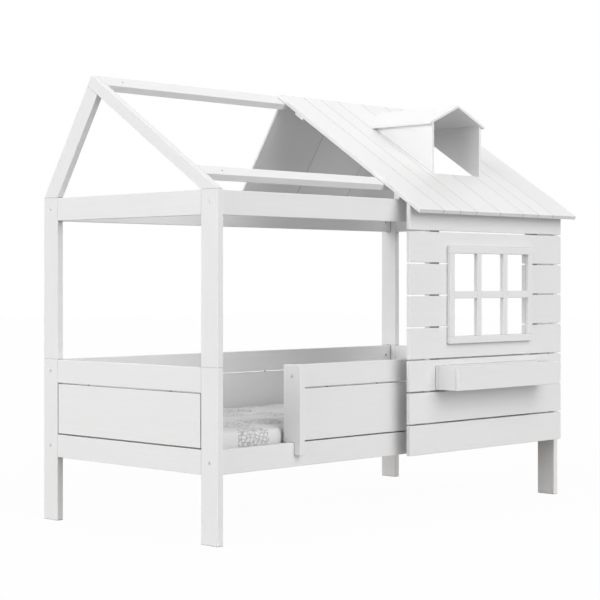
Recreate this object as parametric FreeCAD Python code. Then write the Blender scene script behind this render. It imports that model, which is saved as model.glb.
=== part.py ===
"""House frame bed: a single bed in an open house frame, half of it clad as a small house.

Lengths are in millimetres and angles in degrees. Pieces are placed from the outer face of the
left end (x), the front face of the posts (y) and the floor (z), and each is moved to the part's
origin, the middle of its footprint on the floor, as it is written.
"""
import FreeCAD, Part
import math
import os

Vector = FreeCAD.Vector

# Mattress, which sets the bed's length and width
mattress_length = 2000.0
mattress_width = 900.0
mattress_thick = 114.5
mattress_round = 18.0
mattress_end_gap = 7.0
mattress_side_gap = 4.5
mattress_notch_clearance = 3.0
soft_clearance = 0.3

# Frame
board_thick = 28.0
post_width = 88.0
lower_post_height = 642.0
upper_post_height = 643.5
edge_round = 2.0

# Rails and panels between the posts
lower_rail_bottom = 252.5
rail_height = 90.5
rail_below_post_top = 2.0
board_gap = 5.0
end_panel_side_gap = 6.0

# Guard on the front
entrance_width = 394.0
guard_rail_height = 87.0
guard_lip_below_rail_top = 47.0

# Main roof
front_slope = 33.0
ridge_beam_width = 76.0
purlin_width = 60.0
purlin_up_slope = 108.0
cladding_length = 1065.0
roof_board_thick = 16.0
roof_board_widths_to_right = (107.0, 107.0, 160.0, 160.0, 107.0, 107.0, 169.0)
roof_groove = 1.5
eave_overhang = 110.0
roof_short_of_ridge = 22.0
cross_batten_width = 54.0
cross_batten_thick = 10.0
cross_batten_below_ridge = 147.0
eave_plate_setback = 21.0
back_sheet_thick = 9.0
back_sheet_widths = (340.0, 335.0)
back_sheet_gap = 2.0

# Dormer
dormer_centre_from_right = 509.0
dormer_width = 332.0
dormer_front = 165.0
dormer_eave_height = 1629.0
dormer_slope = 23.6
dormer_side_overhang = 17.0
dormer_front_overhang = 8.0
dormer_sheet_thick = 9.5
cheek_thick = 12.0

# Facade
facade_right_inset = 39.0
facade_left_overhang = 3.0
facade_board_height = 124.0
facade_lowest_board_trim = 4.0
facade_board_gap = 6.0
facade_board_thick = 18.0
under_window_row_count = 3
beside_window_row_count = 2
facade_batten_width = 60.0
facade_batten_inset = 146.0
spacer_height = 60.0

# Window
window_width = 502.0
window_height = 341.0
window_sill = 726.0
window_bar_width = 30.0
window_bar_thick = 18.0
window_columns = 3

# Planter box
planter_length = 694.0
planter_depth = 118.0
planter_height = 97.0
planter_bottom = 511.0
planter_wall = 15.0
planter_shift = -6.5

# Bed base
ledge_side = 28.0
ledge_above_rail_bottom = 1.0
slat_count = 14
slat_width = 70.0
slat_thick = 16.0
slat_end_clearance = 2.0

# Fasteners
bolt_radius = 3.0
bolt_length = 75.0
bolt_head_radius = 8.0
bolt_head_height = 4.0
bolt_socket_radius = 3.0
bolt_socket_depth = 2.5
bolt_head_sink = 0.5
stud_depth_in_rafter = 18.0
stud_end_past_nut = 10.0
stud_nut_from_beam_end = 102.0
nut_radius = 5.0
nut_length = 16.0
nut_from_rail_end = 35.0
dowel_radius = 4.0
dowel_depth = 20.0
dowel_pitch = 292.0
guard_dowel_from_post = 164.0
end_dowel_from_post = 181.0
joint_dowel_spacing = 50.0
post_dowel_from_face = 20.0
post_dowel_spacing = 36.0
front_rafter_dowels_from_face = (40.0, 58.0)
screw_radius = 2.0
screw_head_radius = 4.0
screw_head_depth = 3.0
screw_tip_cover = 5.0
slats_per_ledge_screw = 3
hole_clearance = 0.1
hole_end_clearance = 0.5

# Places that follow from the sizes above
post_top = lower_post_height + upper_post_height
side_setback = (post_width - board_thick) / 2
bed_length = mattress_length + 2 * (mattress_end_gap + board_thick)
bed_width = mattress_width + 2 * (mattress_side_gap + board_thick + side_setback)
front_rail_back = side_setback + board_thick
back_rail_front = bed_width - side_setback - board_thick
inner_right = bed_length - board_thick
lower_rail_top = lower_rail_bottom + rail_height
panel_bottom = lower_rail_top + board_gap
top_rail_top = lower_post_height - rail_below_post_top
top_rail_bottom = top_rail_top - rail_height
panel_top = top_rail_bottom - board_gap
guard_top = top_rail_bottom + guard_rail_height
upper_rail_top = post_top - rail_below_post_top
upper_rail_bottom = upper_rail_top - rail_height
guard_post_left = board_thick + entrance_width
guard_post_right = guard_post_left + board_thick

slope_sin = math.sin(math.radians(front_slope))
slope_cos = math.cos(math.radians(front_slope))
slope_tan = slope_sin / slope_cos
front_rafter_width = post_width * slope_sin
back_rafter_width = post_width * slope_cos
slope_length = bed_width * slope_cos
cladding_left = bed_length - cladding_length
roof_board_end = slope_length - roof_short_of_ridge
cross_batten_top = slope_length - cross_batten_below_ridge

dormer_tan = math.tan(math.radians(dormer_slope))
dormer_sheet_drop = dormer_sheet_thick / math.cos(math.radians(dormer_slope))
dormer_centre = bed_length - dormer_centre_from_right
dormer_left = dormer_centre - dormer_width / 2
dormer_right = dormer_centre + dormer_width / 2

facade_left = cladding_left - facade_left_overhang
facade_right = bed_length - facade_right_inset
facade_back = -board_thick
facade_front = facade_back - facade_board_thick
facade_bottom = lower_rail_bottom
facade_rows_bottom = facade_bottom - facade_lowest_board_trim
facade_pitch = facade_board_height + facade_board_gap
facade_middle = (facade_left + facade_right) / 2
batten_middles = (
    facade_left + facade_batten_inset + facade_batten_width / 2,
    facade_right - facade_batten_inset - facade_batten_width / 2,
)
window_left = facade_middle - window_width / 2
window_right = facade_middle + window_width / 2
window_top = window_sill + window_height
window_front = facade_front - window_bar_thick
planter_left = facade_middle + planter_shift - planter_length / 2
planter_right = planter_left + planter_length
planter_front = facade_front - planter_depth

ledge_bottom = lower_rail_bottom + ledge_above_rail_bottom
ledge_top = ledge_bottom + ledge_side
slat_top = ledge_top + slat_thick
mattress_left = board_thick + mattress_end_gap
mattress_front = front_rail_back + mattress_side_gap
mattress_bottom = slat_top + soft_clearance

eave_front = -eave_overhang * slope_cos - roof_board_thick * slope_sin
footprint_front = min(planter_front, eave_front)
origin_shift = Vector(-bed_length / 2, -(footprint_front + bed_width) / 2, 0)

pieces = {}
holes = []
bolts_and_nuts = []
dowels = []
screws = []


def board(x0, x1, y0, y1, z0, z1, ease=edge_round):
    """A straight board between two corners, with all its edges eased."""
    solid = Part.makeBox(x1 - x0, y1 - y0, z1 - z0, Vector(x0, y0, z0))
    return solid.makeFillet(ease, solid.Edges)


def block(x0, x1, y0, y1, z0, z1):
    """A plain block between two corners, for cuts and for pieces with sharp edges."""
    return Part.makeBox(x1 - x0, y1 - y0, z1 - z0, Vector(x0, y0, z0))


def prism(outline, run):
    """A solid made by moving a flat outline along a vector."""
    face = Part.Face(Part.makePolygon(outline + outline[:1]))
    return face.extrude(run)


def onto_front_slope(solid):
    """Turn a solid built flat, with y up the slope and z out of it, onto the front slope."""
    solid.rotate(Vector(0, 0, 0), Vector(1, 0, 0), front_slope)
    solid.translate(Vector(0, 0, post_top))
    return solid


def slope_point(x, up, out):
    """The point at a distance up the front slope and out of the rafters' top plane."""
    y = up * slope_cos - out * slope_sin
    z = post_top + up * slope_sin + out * slope_cos
    return Vector(x, y, z)


def above_roof_plane(out):
    """A large block over the plane that lies this far out of the rafters' tops."""
    reach = bed_length + bed_width
    return onto_front_slope(block(-reach, reach, -reach, reach, out, out + reach))


def below_roof_plane(out):
    """A large block under the plane that lies this far out of the rafters' tops."""
    reach = bed_length + bed_width
    return onto_front_slope(block(-reach, reach, -reach, reach, out - reach, out))


def rod(start, along, radius, length):
    """A round rod from a point along a direction."""
    return Part.makeCylinder(radius, length, start, along)


# Fasteners: each one also records the hole that it needs in whatever it passes through.

def add_bolt(face_point, along):
    """A round-headed connector bolt with a hexagon socket, its head sunk under the face."""
    head_start = face_point + along * bolt_head_sink
    head = rod(head_start, along, bolt_head_radius, bolt_head_height)
    shank = rod(head_start, along, bolt_radius, bolt_length)
    socket = hexagon_socket(head_start, along)
    bolts_and_nuts.append(head.fuse(shank).cut(socket))
    outside = face_point - along * bolt_head_sink
    head_room = 2 * bolt_head_sink + bolt_head_height + hole_clearance
    head_hole = rod(outside, along, bolt_head_radius + hole_clearance, head_room)
    shank_room = bolt_head_sink + bolt_length + hole_end_clearance
    shank_hole = rod(face_point, along, bolt_radius + hole_clearance, shank_room)
    hole = head_hole.fuse(shank_hole)
    holes.append(hole)
    return hole


def add_stud(start, along, length):
    """A headless threaded stud, set in one piece and drawn into the other by a barrel nut."""
    bolts_and_nuts.append(rod(start, along, bolt_radius, length))
    hole_start = start - along * hole_end_clearance
    hole = rod(hole_start, along, bolt_radius + hole_clearance, length + 2 * hole_end_clearance)
    holes.append(hole)
    return hole


def hexagon_socket(start, along):
    """The hexagonal recess in a bolt's head."""
    turn = FreeCAD.Rotation(Vector(0, 0, 1), along)
    corners = []
    for corner in range(6):
        angle = math.radians(60 * corner)
        flat = Vector(bolt_socket_radius * math.cos(angle), bolt_socket_radius * math.sin(angle), 0)
        corners.append(start + turn.multVec(flat))
    return prism(corners, along * bolt_socket_depth)


def add_nut(centre, across, bolt_hole):
    """A barrel nut across a bolt, in a blind hole that opens towards the given side."""
    start = centre - across * (nut_length / 2)
    nut = rod(start, across, nut_radius, nut_length)
    bolts_and_nuts.append(nut.cut(bolt_hole))
    hole_start = start - across * hole_end_clearance
    hole_length = nut_length / 2 + hole_end_clearance + board_thick / 2 + edge_round
    holes.append(rod(hole_start, across, nut_radius + hole_clearance, hole_length))


def add_dowel(joint_point, along, gap=0.0):
    """A dowel centred on a joint, reaching the same depth into the pieces on both sides."""
    length = gap + 2 * dowel_depth
    start = joint_point - along * (length / 2)
    dowels.append(rod(start, along, dowel_radius, length))
    hole_start = start - along * hole_end_clearance
    hole_length = length + 2 * hole_end_clearance
    holes.append(rod(hole_start, along, dowel_radius + hole_clearance, hole_length))


def add_screw(face_point, along, length):
    """A countersunk wood screw, its head flush with the face."""
    head = Part.makeCone(screw_head_radius, screw_radius, screw_head_depth, face_point, along)
    screws.append(head.fuse(rod(face_point, along, screw_radius, length)))
    wide = screw_head_radius + hole_clearance
    narrow = screw_radius + hole_clearance
    head_hole = Part.makeCone(wide, narrow, screw_head_depth, face_point, along)
    shank_hole = rod(face_point, along, narrow, length + hole_end_clearance)
    holes.append(head_hole.fuse(shank_hole))


# Corner posts and end frames

def make_posts():
    """Four posts, each of a lower and an upper length joined end to end by dowels."""
    for side, x0 in (("left", 0.0), ("right", inner_right)):
        for face, y0, outer, inward in (
            ("front", 0.0, 0.0, 1),
            ("back", bed_width - post_width, bed_width, -1),
        ):
            x1 = x0 + board_thick
            y1 = y0 + post_width
            pieces[f"lower_post_{face}_{side}"] = board(x0, x1, y0, y1, 0, lower_post_height)
            pieces[f"upper_post_{face}_{side}"] = board(x0, x1, y0, y1, lower_post_height, post_top)
            for step in range(2):
                reach = post_dowel_from_face + step * post_dowel_spacing
                seam = Vector(x0 + board_thick / 2, outer + inward * reach, lower_post_height)
                add_dowel(seam, Vector(0, 0, 1))


def add_end_rail_dowels(middle_x, z0, z1):
    """Two dowels at each end of a rail between a front and a back post."""
    middle = (z0 + z1) / 2
    for y in (post_width, bed_width - post_width):
        for offset in (-joint_dowel_spacing / 2, joint_dowel_spacing / 2):
            add_dowel(Vector(middle_x, y, middle + offset), Vector(0, 1, 0))


def make_end_frames():
    """Bottom rail, panel and top rail between the lower posts, and the rail at the post tops."""
    y0 = post_width
    y1 = bed_width - post_width
    for side, x0 in (("left", 0.0), ("right", inner_right)):
        x1 = x0 + board_thick
        middle_x = x0 + board_thick / 2
        rails = (
            ("end_bottom_rail", lower_rail_bottom, lower_rail_top),
            ("end_top_rail", top_rail_bottom, top_rail_top),
            ("upper_end_rail", upper_rail_bottom, upper_rail_top),
        )
        for name, z0, z1 in rails:
            pieces[f"{name}_{side}"] = board(x0, x1, y0, y1, z0, z1)
            add_end_rail_dowels(middle_x, z0, z1)
        panel_y0 = y0 + end_panel_side_gap
        panel_y1 = y1 - end_panel_side_gap
        pieces[f"end_panel_{side}"] = board(x0, x1, panel_y0, panel_y1, panel_bottom, panel_top)
        for y in (y0 + end_dowel_from_post, y1 - end_dowel_from_post):
            for gap_top in (panel_bottom, top_rail_bottom):
                middle = Vector(middle_x, y, gap_top - board_gap / 2)
                add_dowel(middle, Vector(0, 0, 1), board_gap)


# Rails, panels and guard along the sides

def bolt_rail_end(face_x, along, y, z, across):
    """A bolt through a post into a rail's end, with its barrel nut opening towards one side."""
    hole = add_bolt(Vector(face_x, y, z), Vector(along, 0, 0))
    nut_x = face_x + along * (board_thick + nut_from_rail_end)
    add_nut(Vector(nut_x, y, z), across, hole)


def make_side(prefix, y0, inward):
    """The lower and upper rails of one side, bolted to the posts at both ends."""
    y1 = y0 + board_thick
    middle_y = (y0 + y1) / 2
    rails = (
        (f"{prefix}_side_rail", lower_rail_bottom, lower_rail_top),
        (f"{prefix}_upper_rail", upper_rail_bottom, upper_rail_top),
    )
    for name, z0, z1 in rails:
        pieces[name] = board(board_thick, inner_right, y0, y1, z0, z1)
        for face_x, along in ((0.0, 1), (bed_length, -1)):
            bolt_rail_end(face_x, along, middle_y, (z0 + z1) / 2, Vector(0, inward, 0))


def add_panel_dowels(first_x, last_x, y):
    """Dowels between a lower rail, the panel over it and the top rail."""
    x = first_x
    while x < last_x - dowel_radius:
        for gap_top in (panel_bottom, top_rail_bottom):
            add_dowel(Vector(x, y, gap_top - board_gap / 2), Vector(0, 0, 1), board_gap)
        x += dowel_pitch


def make_back_boards():
    """The panel and top rail that close the back of the bed."""
    y0 = back_rail_front
    y1 = back_rail_front + board_thick
    middle_y = (y0 + y1) / 2
    pieces["back_panel"] = board(board_thick, inner_right, y0, y1, panel_bottom, panel_top)
    pieces["back_top_rail"] = board(board_thick, inner_right, y0, y1, top_rail_bottom, top_rail_top)
    top_rail_middle = (top_rail_bottom + top_rail_top) / 2
    for face_x, along in ((0.0, 1), (bed_length, -1)):
        bolt_rail_end(face_x, along, middle_y, top_rail_middle, Vector(0, -1, 0))
    first_x = guard_post_right + guard_dowel_from_post - dowel_pitch
    add_panel_dowels(first_x, inner_right, middle_y)


def make_guard():
    """The notched guard post with the guard panel and top rail that run to the right post."""
    y0 = side_setback
    y1 = front_rail_back
    middle_y = (y0 + y1) / 2
    post = board(
        guard_post_left,
        guard_post_right,
        0,
        post_width,
        lower_rail_top - guard_lip_below_rail_top,
        guard_top,
    )
    rail_room = block(guard_post_left, guard_post_right, y0, post_width, 0, lower_rail_top)
    pieces["guard_post"] = post.cut(rail_room)
    pieces["guard_panel"] = board(guard_post_right, inner_right, y0, y1, panel_bottom, panel_top)
    pieces["guard_top_rail"] = board(guard_post_right, inner_right, y0, y1, top_rail_bottom, guard_top)
    top_rail_middle = (top_rail_bottom + guard_top) / 2
    for face_x, along in ((guard_post_left, 1), (bed_length, -1)):
        bolt_rail_end(face_x, along, middle_y, top_rail_middle, Vector(0, 1, 0))
    add_panel_dowels(guard_post_right + guard_dowel_from_post, inner_right, middle_y)
    lip_middle = lower_rail_top - guard_lip_below_rail_top / 2
    lip_screw = Vector(guard_post_left + board_thick / 2, y1, lip_middle)
    add_screw(lip_screw, Vector(0, -1, 0), board_thick + side_setback - screw_tip_cover)


# Main roof

def make_rafters():
    """A front rafter to the apex and a back rafter butted under it, over each end."""
    apex = slope_point(0, slope_length, 0)
    front_foot = Vector(0, 0, post_top)
    front_heel = Vector(0, post_width, post_top)
    front_end = slope_point(0, slope_length, -front_rafter_width)
    back_foot = Vector(0, bed_width, post_top)
    back_heel = Vector(0, bed_width - post_width, post_top)
    back_end = slope_point(0, slope_length - back_rafter_width, -front_rafter_width)
    joint_up = slope_length - back_rafter_width / 2
    run = Vector(board_thick, 0, 0)
    for side, x0 in (("left", 0.0), ("right", inner_right)):
        shift = Vector(x0, 0, 0)
        middle_x = x0 + board_thick / 2
        front = prism([front_foot, apex, front_end, front_heel], run)
        back = prism([back_foot, front_end, back_end, back_heel], run)
        for face, rafter in (("front", front), ("back", back)):
            rafter = rafter.makeFillet(edge_round, rafter.Edges)
            rafter.translate(shift)
            pieces[f"{face}_rafter_{side}"] = rafter
        last_seat = bed_width - post_dowel_from_face
        for y in front_rafter_dowels_from_face + (last_seat - post_dowel_spacing, last_seat):
            add_dowel(Vector(middle_x, y, post_top), Vector(0, 0, 1))
        joint = slope_point(middle_x, joint_up, -front_rafter_width)
        add_dowel(joint, Vector(0, -slope_sin, slope_cos))


def make_beam(name, low, high):
    """A board lying in the front slope between the rafters, drawn to them by hidden studs."""
    flat = board(board_thick, inner_right, low, high, -board_thick, 0)
    pieces[name] = onto_front_slope(flat)
    outward = Vector(0, -slope_sin, slope_cos)
    stud_length = stud_depth_in_rafter + stud_nut_from_beam_end + stud_end_past_nut
    for end_x, inward in ((board_thick, 1), (inner_right, -1)):
        along = Vector(inward, 0, 0)
        end = slope_point(end_x, (low + high) / 2, -board_thick / 2)
        hole = add_stud(end - along * stud_depth_in_rafter, along, stud_length)
        add_nut(end + along * stud_nut_from_beam_end, outward, hole)


def roof_board(x0, x1):
    """One front roof board, with a bevel along both edges of its top for the grooves."""
    top = roof_board_thick
    outline = [
        Vector(x0, -eave_overhang, 0),
        Vector(x1, -eave_overhang, 0),
        Vector(x1, -eave_overhang, top - roof_groove),
        Vector(x1 - roof_groove, -eave_overhang, top),
        Vector(x0 + roof_groove, -eave_overhang, top),
        Vector(x0, -eave_overhang, top - roof_groove),
    ]
    flat = prism(outline, Vector(0, roof_board_end + eave_overhang, 0))
    return onto_front_slope(flat)


def dormer_opening():
    """The upright shaft through the roof boards between the dormer's cheeks."""
    top_at_post_face = post_top + roof_board_thick / slope_cos
    opening_back = (dormer_eave_height - top_at_post_face) / slope_tan
    x0 = dormer_left + cheek_thick
    x1 = dormer_right - cheek_thick
    return block(x0, x1, dormer_front, opening_back, 0, dormer_eave_height + dormer_width)


def make_roof_boards():
    """The boards over the right half of the front slope, open under the dormer."""
    opening = dormer_opening()
    first_width = cladding_length - sum(roof_board_widths_to_right)
    x = cladding_left
    for number, width in enumerate((first_width,) + roof_board_widths_to_right, start=1):
        pieces[f"roof_board_{number}"] = roof_board(x, x + width).cut(opening)
        batten_middle = cross_batten_top - cross_batten_width / 2
        start = slope_point(x + width / 2, batten_middle, -cross_batten_thick)
        screw_length = cross_batten_thick + roof_board_thick - screw_tip_cover
        add_screw(start, Vector(0, -slope_sin, slope_cos), screw_length)
        x += width


def make_roof_supports():
    """The cross batten that ties the roof boards, and the plate between them and the upper rail."""
    low = cross_batten_top - cross_batten_width
    flat = board(cladding_left, inner_right, low, cross_batten_top, -cross_batten_thick, 0)
    pieces["roof_cross_batten"] = onto_front_slope(flat)
    plate_left = cladding_left + eave_plate_setback
    outline = [
        Vector(plate_left, side_setback, upper_rail_top),
        Vector(plate_left, front_rail_back, upper_rail_top),
        Vector(plate_left, front_rail_back, post_top + front_rail_back * slope_tan),
        Vector(plate_left, side_setback, post_top + side_setback * slope_tan),
    ]
    pieces["eave_plate"] = prism(outline, Vector(inner_right - plate_left, 0, 0))


def make_back_sheets():
    """Thin sheets on the back slope, from the back upper rail to the ridge beam's underside."""
    foot = Vector(0, back_rail_front, upper_rail_top)
    foot_out = foot + Vector(0, back_sheet_thick / slope_cos, 0)
    beam_under = -board_thick
    foot_up = foot.y * slope_cos + (foot.z - post_top) * slope_sin
    head = slope_point(0, foot_up, beam_under)
    head_out = slope_point(0, foot_up + back_sheet_thick, beam_under)
    last_width = cladding_length - board_thick - sum(back_sheet_widths)
    sheets = []
    x = cladding_left
    for width in back_sheet_widths + (last_width,):
        sheet = prism([foot, foot_out, head_out, head], Vector(width - back_sheet_gap, 0, 0))
        sheet.translate(Vector(x + back_sheet_gap, 0, 0))
        sheets.append(sheet)
        x += width
    pieces["back_roof_sheets"] = Part.makeCompound(sheets)


# Dormer

def dormer_underside(x):
    """The height of the underside of the dormer's roof over a point along the bed."""
    from_eave = dormer_width / 2 - abs(x - dormer_centre)
    return dormer_eave_height + from_eave * dormer_tan


def make_dormer():
    """Two cheeks that stand on the roof boards and the two panels of the dormer's roof."""
    main_roof = below_roof_plane(roof_board_thick)
    far_back = bed_width
    cheeks = []
    for x0 in (dormer_left, dormer_right - cheek_thick):
        x1 = x0 + cheek_thick
        outline = [
            Vector(x0, dormer_front, post_top),
            Vector(x1, dormer_front, post_top),
            Vector(x1, dormer_front, dormer_underside(x1)),
            Vector(x0, dormer_front, dormer_underside(x0)),
        ]
        cheeks.append(prism(outline, Vector(0, far_back - dormer_front, 0)).cut(main_roof))
    pieces["dormer_cheeks"] = Part.makeCompound(cheeks)
    panel_front = dormer_front - dormer_front_overhang
    panels = []
    for eave_x in (dormer_left - dormer_side_overhang, dormer_right + dormer_side_overhang):
        outline = [
            Vector(eave_x, panel_front, dormer_underside(eave_x)),
            Vector(dormer_centre, panel_front, dormer_underside(dormer_centre)),
            Vector(dormer_centre, panel_front, dormer_underside(dormer_centre) + dormer_sheet_drop),
            Vector(eave_x, panel_front, dormer_underside(eave_x) + dormer_sheet_drop),
        ]
        panels.append(prism(outline, Vector(0, far_back - panel_front, 0)).cut(main_roof))
    pieces["dormer_roof"] = Part.makeCompound(panels)


# Facade, window and planter

def facade_row(row):
    """One row of facade boards, open where the window is."""
    z0 = facade_rows_bottom + row * facade_pitch
    z1 = z0 + facade_board_height
    solid = board(facade_left, facade_right, facade_front, facade_back, max(z0, facade_bottom), z1)
    opening = block(window_left, window_right, window_front, 0, window_sill, window_top)
    return solid.cut(opening)


def make_facade():
    """Rows of boards in front of the bed, from below the side rail up to the roof."""
    low = under_window_row_count
    beside = low + 1
    above = beside + beside_window_row_count
    pieces["facade_boards_lower"] = Part.makeCompound([facade_row(row) for row in range(low)])
    pieces["facade_board_under_window"] = facade_row(low)
    beside_rows = [facade_row(row) for row in range(beside, above)]
    halves = [half for row in beside_rows for half in row.Solids]
    pieces["facade_boards_beside_window"] = Part.makeCompound(halves)
    pieces["facade_board_over_window"] = facade_row(above)
    top_bottom = facade_rows_bottom + (above + 1) * facade_pitch
    top_board = board(facade_left, facade_right, facade_front, facade_back, top_bottom, post_top)
    pieces["facade_board_top"] = top_board.cut(above_roof_plane(0))
    for middle in batten_middles:
        screw_x = middle - facade_batten_width / 4
        for row in range(above + 2):
            screw_z = facade_rows_bottom + row * facade_pitch + facade_board_height / 2
            screw_length = board_thick + facade_board_thick - screw_tip_cover
            add_screw(Vector(screw_x, 0, screw_z), Vector(0, -1, 0), screw_length)


def make_facade_battens():
    """Upright battens behind the facade boards, and the blocks that fix them to the rails."""
    battens = []
    spacers = []
    rail_middles = (
        (lower_rail_bottom + lower_rail_top) / 2,
        (top_rail_bottom + guard_top) / 2,
        (upper_rail_bottom + upper_rail_top) / 2,
    )
    for middle in batten_middles:
        x0 = middle - facade_batten_width / 2
        x1 = middle + facade_batten_width / 2
        batten = board(x0, x1, facade_back, 0, facade_bottom, post_top)
        battens.append(batten.cut(above_roof_plane(0)))
        screw_x = middle + facade_batten_width / 4
        for z in rail_middles:
            z0 = z - spacer_height / 2
            spacers.append(board(x0, x1, 0, side_setback, z0, z0 + spacer_height))
            screw_length = board_thick + side_setback + board_thick - screw_tip_cover
            add_screw(Vector(screw_x, front_rail_back, z), Vector(0, -1, 0), screw_length)
    pieces["facade_battens"] = Part.makeCompound(battens)
    pieces["facade_spacers"] = Part.makeCompound(spacers)


def make_window():
    """A frame in front of the boards, with upright bars and a transom that make six panes."""
    bar = window_bar_width
    y0 = window_front
    y1 = facade_front
    frame = [
        board(window_left - bar, window_right + bar, y0, y1, window_sill - bar, window_sill),
        board(window_left - bar, window_right + bar, y0, y1, window_top, window_top + bar),
        board(window_left - bar, window_left, y0, y1, window_sill, window_top),
        board(window_right, window_right + bar, y0, y1, window_sill, window_top),
    ]
    pieces["window_frame"] = Part.makeCompound(frame)
    pane_width = (window_width - (window_columns - 1) * bar) / window_columns
    transom_bottom = (window_sill + window_top - bar) / 2
    bars = []
    for column in range(window_columns):
        x0 = window_left + column * (pane_width + bar)
        x1 = x0 + pane_width
        bars.append(board(x0, x1, y0, y1, transom_bottom, transom_bottom + bar))
        if column < window_columns - 1:
            bars.append(board(x1, x1 + bar, y0, y1, window_sill, window_top))
    pieces["window_bars"] = Part.makeCompound(bars)
    screw_length = facade_board_thick + window_bar_thick - screw_tip_cover
    for x in (window_left - bar / 2, window_right + bar / 2):
        for z in (window_sill - bar / 2, window_top + bar / 2):
            add_screw(Vector(x, facade_back, z), Vector(0, -1, 0), screw_length)


def make_planter():
    """An open box in front of the facade, screwed to it through its back."""
    wall = planter_wall
    top = planter_bottom + planter_height
    y0 = planter_front
    y1 = facade_front
    inner_x0 = planter_left + wall
    inner_x1 = planter_right - wall
    boards = [
        board(planter_left, planter_right, y0, y0 + wall, planter_bottom, top),
        board(planter_left, planter_right, y1 - wall, y1, planter_bottom, top),
        board(planter_left, inner_x0, y0 + wall, y1 - wall, planter_bottom, top),
        board(inner_x1, planter_right, y0 + wall, y1 - wall, planter_bottom, top),
        board(inner_x0, inner_x1, y0 + wall, y1 - wall, planter_bottom, planter_bottom + wall),
    ]
    pieces["planter_box"] = Part.makeCompound(boards)
    middle_z = planter_bottom + planter_height / 2
    screw_length = wall + facade_board_thick - screw_tip_cover
    for x in (planter_left + planter_length / 4, planter_right - planter_length / 4):
        add_screw(Vector(x, y1 - wall, middle_z), Vector(0, 1, 0), screw_length)


# Bed base and mattress

def make_base():
    """Ledges on the side rails' inner faces, and the slats that lie on them."""
    x0 = board_thick
    x1 = inner_right
    ledges = [
        board(x0, x1, front_rail_back, front_rail_back + ledge_side, ledge_bottom, ledge_top),
        board(x0, x1, back_rail_front - ledge_side, back_rail_front, ledge_bottom, ledge_top),
    ]
    pieces["slat_ledges"] = Part.makeCompound(ledges)
    pitch = (x1 - x0 - 2 * slat_end_clearance - slat_width) / (slat_count - 1)
    y0 = front_rail_back + slat_end_clearance
    y1 = back_rail_front - slat_end_clearance
    ledge_middle_z = (ledge_bottom + ledge_top) / 2
    slats = []
    for number in range(slat_count):
        left = x0 + slat_end_clearance + number * pitch
        slats.append(board(left, left + slat_width, y0, y1, ledge_top, slat_top))
        slat_middle = left + slat_width / 2
        for y in (front_rail_back + ledge_side / 2, back_rail_front - ledge_side / 2):
            screw_length = slat_thick + ledge_side - screw_tip_cover
            add_screw(Vector(slat_middle, y, slat_top), Vector(0, 0, -1), screw_length)
        if number % slats_per_ledge_screw == 0:
            between = slat_middle + pitch / 2
            length = ledge_side + board_thick - screw_tip_cover
            front_face = Vector(between, front_rail_back + ledge_side, ledge_middle_z)
            back_face = Vector(between, back_rail_front - ledge_side, ledge_middle_z)
            add_screw(front_face, Vector(0, -1, 0), length)
            add_screw(back_face, Vector(0, 1, 0), length)
    pieces["slats"] = Part.makeCompound(slats)


def make_mattress():
    """The mattress, notched where the guard post stands in from the rail."""
    solid = board(
        mattress_left,
        mattress_left + mattress_length,
        mattress_front,
        mattress_front + mattress_width,
        mattress_bottom,
        mattress_bottom + mattress_thick,
        mattress_round,
    )
    notch = block(
        guard_post_left - mattress_notch_clearance,
        guard_post_right + mattress_notch_clearance,
        0,
        post_width + mattress_notch_clearance,
        0,
        post_top,
    )
    pieces["mattress"] = solid.cut(notch)


def drill_holes():
    """Cut each fastener's hole out of every piece that it passes through."""
    for name, piece in pieces.items():
        reached = [hole for hole in holes if hole.BoundBox.intersect(piece.BoundBox)]
        if reached and name != "mattress":
            solids = []
            for solid in piece.Solids:
                near = [hole for hole in reached if hole.BoundBox.intersect(solid.BoundBox)]
                solids.extend(solid.cut(near).Solids if near else [solid])
            pieces[name] = Part.makeCompound(solids)


def write_pieces():
    """Move every piece to the part's origin and write it as a STEP file of its own."""
    os.makedirs("parts", exist_ok=True)
    for name, piece in pieces.items():
        piece = piece.copy()
        piece.translate(origin_shift)
        if len(piece.Solids) == 1:
            piece = piece.Solids[0]
        piece.exportStep(f"parts/{name}.step")


make_posts()
make_end_frames()
make_side("front", side_setback, 1)
make_side("back", back_rail_front, -1)
make_back_boards()
make_guard()
make_rafters()
make_beam("ridge_beam", slope_length - ridge_beam_width, slope_length)
make_beam("front_purlin", purlin_up_slope, purlin_up_slope + purlin_width)
make_roof_boards()
make_roof_supports()
make_back_sheets()
make_dormer()
make_facade()
make_facade_battens()
make_window()
make_planter()
make_base()
make_mattress()
drill_holes()
pieces["connector_bolts"] = Part.makeCompound(bolts_and_nuts)
pieces["dowel_pins"] = Part.makeCompound(dowels)
pieces["wood_screws"] = Part.makeCompound(screws)
write_pieces()
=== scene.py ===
"""House frame bed: finishes, mattress, joinery details, floor, light and camera.

Everything is in metres, in the part's own frame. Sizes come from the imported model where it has
them, and otherwise from the settings below.
"""
import math

import bmesh
import bpy
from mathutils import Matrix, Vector, noise


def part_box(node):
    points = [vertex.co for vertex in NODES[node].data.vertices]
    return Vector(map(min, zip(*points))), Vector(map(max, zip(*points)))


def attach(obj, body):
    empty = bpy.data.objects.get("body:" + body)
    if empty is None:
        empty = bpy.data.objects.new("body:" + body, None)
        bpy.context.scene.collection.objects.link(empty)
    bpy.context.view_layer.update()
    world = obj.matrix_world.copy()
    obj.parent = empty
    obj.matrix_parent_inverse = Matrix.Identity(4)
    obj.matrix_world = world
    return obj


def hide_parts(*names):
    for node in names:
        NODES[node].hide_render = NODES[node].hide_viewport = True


bl_info = {
    "name": "House frame bed",
    "version": (1, 0, 0),
    "blender": (4, 5, 0),
    "location": "View3D > Sidebar > House bed",
    "description": "Finishes a house frame bed and sets it in a plain studio",
    "category": "Object",
}

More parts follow.
